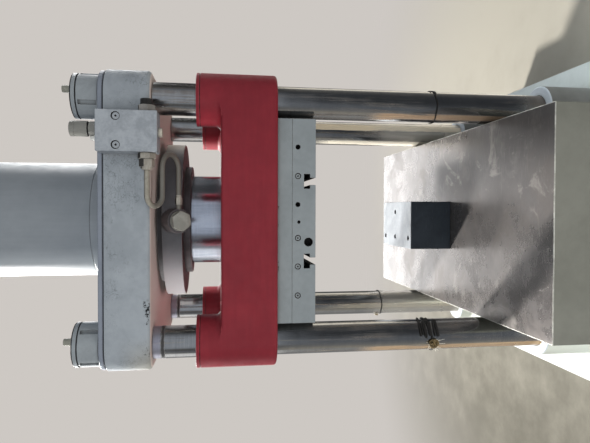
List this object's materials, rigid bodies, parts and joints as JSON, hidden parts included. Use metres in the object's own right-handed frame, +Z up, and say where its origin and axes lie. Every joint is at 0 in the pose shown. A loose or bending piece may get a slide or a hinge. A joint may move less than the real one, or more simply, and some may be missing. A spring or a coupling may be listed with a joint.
{
  "type": "four-column hydraulic die casting press",
  "caption": "Downstroking hydraulic press: columns, crown with cylinder, sliding red crosshead with a T-slotted platen, long steel table on a white base.",
  "frame": {"origin": "middle of the base at floor level", "axes": "+Z up, +X to the operator's right, +Y to the back along the table"},
  "size_m": [1.12, 1.48, 2.46],
  "materials": {
    "base_paint": "worn white paint",
    "table_steel": "machined steel with scratches, painted sides",
    "column_steel": "polished steel with brown oil film",
    "grey_paint": "crackled grey paint",
    "nut_steel": "grey paint, satin",
    "cylinder_paint": "semi-gloss grey paint",
    "dark_steel": "blackened steel",
    "chrome": "hard chrome",
    "red_paint": "dark red paint",
    "pipe_steel": "dull zinc plated steel",
    "tool_steel": "dark oiled steel"
  },
  "bodies": {
    "press_frame": {"base_top": "base_paint", "base_side_l": "base_paint", "base_side_r": "base_paint", "base_end_f": "base_paint", "base_end_b": "base_paint", "lower_casting": "base_paint", "foot_bosses": "base_paint", "table": "table_steel", "column_fl": "column_steel", "column_fr": "column_steel", "column_rl": "column_steel", "column_rr": "column_steel", "crown": "grey_paint", "valve_block": "grey_paint", "nut_fl": "nut_steel", "nut_fr": "nut_steel", "nut_rl": "nut_steel", "nut_rr": "nut_steel", "cover_fl": "nut_steel", "cover_fr": "nut_steel", "cover_rl": "nut_steel", "cover_rr": "nut_steel", "barrel": "cylinder_paint", "barrel_flange": "cylinder_paint", "cylinder_head": "cylinder_paint", "gland": "dark_steel", "valve_plug": "dark_steel", "hose_adapter": "dark_steel", "relief_valve": "dark_steel", "s_tube": "pipe_steel", "tube_adapter": "pipe_steel", "tube_nut": "pipe_steel", "tube_end_nut": "pipe_steel", "port_boss": "pipe_steel", "port_plug": "pipe_steel", "tool_block": "tool_steel"},
    "ram": {"piston_rod": "chrome", "crosshead": "red_paint", "head_bosses": "red_paint", "ring_fl": "red_paint", "ring_fr": "red_paint", "ring_rl": "red_paint", "ring_rr": "red_paint", "spacer_plate": "grey_paint", "t_slot_plate": "grey_paint"}
  },
  "joints": [
    {"name": "ram_slide", "type": "slide", "parent": "press_frame", "child": "ram", "axis": [0, 0, -1], "range_m": [0, 0.4]}
  ]
}
